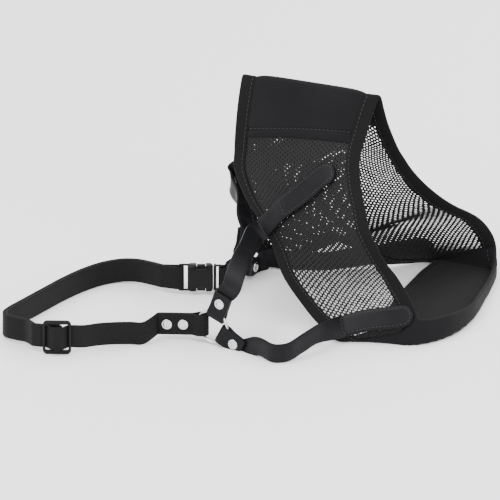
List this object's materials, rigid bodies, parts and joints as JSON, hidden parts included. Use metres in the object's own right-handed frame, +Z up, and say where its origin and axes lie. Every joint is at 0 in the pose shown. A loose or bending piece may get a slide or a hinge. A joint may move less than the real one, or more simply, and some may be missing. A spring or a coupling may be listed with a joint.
{
  "type": "fabric dog muzzle",
  "caption": "Soft mesh dog muzzle: bound mesh sleeve with a knit ridge pad, leather straps to steel rings, and a webbing neck strap with a slider and side-release buckle.",
  "frame": {"origin": "middle of the footprint of the whole muzzle, on the surface it lies on", "axes": "+X towards the nose opening, +Y towards the dog's left side, +Z up from the surface"},
  "size_m": [0.2824, 0.255, 0.1451],
  "materials": {
    "mesh_fabric": "open hexagonal knitted mesh, matt black",
    "knit_padding": "close knit face over thin foam, matt black",
    "binding_tape": "ribbed woven tape, matt black",
    "webbing": "tight woven webbing, low sheen black",
    "leather": "smooth grained, satin black",
    "plated_steel": "bright plated",
    "moulded_plastic": "satin moulded black"
  },
  "bodies": {
    "muzzle": {"buckle_plug": "moulded_plastic", "buckle_socket": "moulded_plastic", "chin_band": "knit_padding", "front_binding": "binding_tape", "left_lower_rivet": "plated_steel", "left_lower_strap": "leather", "left_mesh_panel": "mesh_fabric", "left_upper_rivet": "plated_steel", "left_upper_strap": "leather", "neck_webbing": "webbing", "neck_webbing_rivet_back": "plated_steel", "neck_webbing_rivet_front": "plated_steel", "nose_pad": "knit_padding", "nose_pad_lining": "knit_padding", "rear_binding": "binding_tape", "right_lower_rivet": "plated_steel", "right_lower_strap": "leather", "right_mesh_panel": "mesh_fabric", "right_upper_rivet": "plated_steel", "right_upper_strap": "leather", "tail_webbing": "webbing"},
    "right_ring": {"right_ring": "plated_steel"},
    "left_ring": {"left_ring": "plated_steel"},
    "slider": {"slider_frame": "moulded_plastic"},
    "upper_prong": {"buckle_prong_upper": "moulded_plastic"},
    "lower_prong": {"buckle_prong_lower": "moulded_plastic"}
  },
  "joints": [
    {"name": "right_ring_spin", "type": "hinge", "parent": "muzzle", "child": "right_ring", "pos_m": [-0.00528, -0.06805, 0.0129], "axis": [-0.1392, -0.9903, 0], "continuous": true},
    {"name": "left_ring_spin", "type": "hinge", "parent": "muzzle", "child": "left_ring", "pos_m": [-0.02857, 0.03845, 0.0126], "axis": [0.9912, -0.1322, 0], "continuous": true},
    {"name": "slider_slide", "type": "slide", "parent": "muzzle", "child": "slider", "axis": [0.9397, 0.342, 0], "range_m": [-0.008, 0.008], "deforming": ["neck_webbing"]},
    {"name": "upper_prong_press", "type": "hinge", "parent": "muzzle", "child": "upper_prong", "pos_m": [-0.03966, 0.01278, 0.0172], "axis": [-0.3681, 0.9298, 0], "range_deg": [-10, 0], "stiffness_Nm_per_rad": 0.02},
    {"name": "lower_prong_press", "type": "hinge", "parent": "muzzle", "child": "lower_prong", "pos_m": [-0.03966, 0.01278, 0.0068], "axis": [-0.3681, 0.9298, 0], "range_deg": [0, 10], "stiffness_Nm_per_rad": 0.02}
  ],
  "couplings": [
    {"joint": "lower_prong_press", "follows": "upper_prong_press", "ratio": -1}
  ]
}
